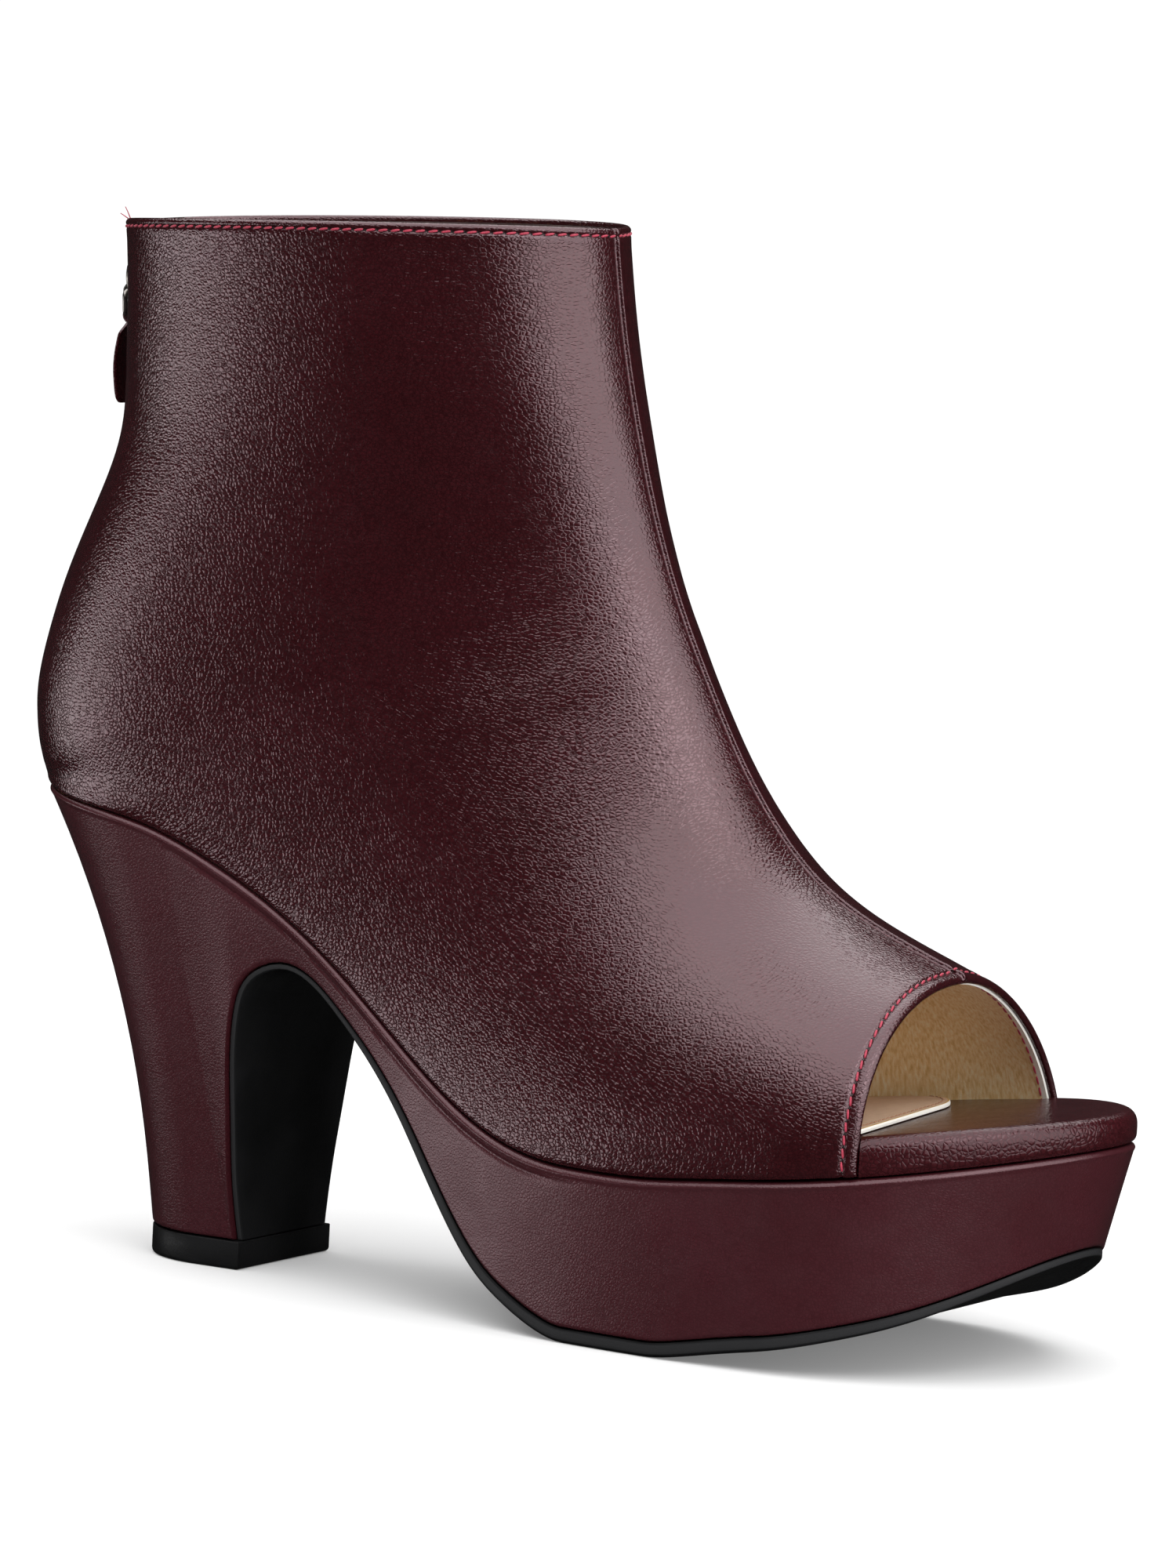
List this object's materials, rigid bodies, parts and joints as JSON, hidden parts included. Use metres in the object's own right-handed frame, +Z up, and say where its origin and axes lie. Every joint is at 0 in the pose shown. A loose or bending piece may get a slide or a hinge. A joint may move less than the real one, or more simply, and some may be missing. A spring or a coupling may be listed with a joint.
{
  "type": "peep toe ankle boot",
  "caption": "Burgundy grained leather peep toe ankle boot for the right foot, with a wrapped platform, high block heel, black sole and back zip.",
  "frame": {"origin": "On the floor under the middle of the heel's top piece, on the boot's middle line", "axes": "+X from heel to toe, +Y to the inner side of the foot, +Z up; -Y is the outer side that the picture shows"},
  "size_m": [0.2542, 0.0901, 0.2221],
  "materials": {
    "burgundy_leather": "fine pebble grain, satin",
    "burgundy_wrap": "smooth wrap, satin",
    "black_sole": "satin",
    "beige_sock": "matt lining",
    "burgundy_tape": "woven tape",
    "dark_metal": "dark plated"
  },
  "bodies": {
    "root": {"upper": "burgundy_leather", "platform_heel_cover": "burgundy_wrap", "outsole": "black_sole", "top_piece": "black_sole", "insole_board": "burgundy_leather", "sock": "beige_sock", "zip_tape": "burgundy_tape", "zip_slider": "dark_metal"},
    "zip_pull": {"pull_link": "dark_metal", "pull_tab": "burgundy_leather"}
  },
  "joints": [
    {"name": "zip_pull_hinge", "type": "hinge", "parent": "root", "child": "zip_pull", "pos_m": [-0.03561, 0, 0.19994], "axis": [0, 1, 0], "range_deg": [0, 160]}
  ]
}
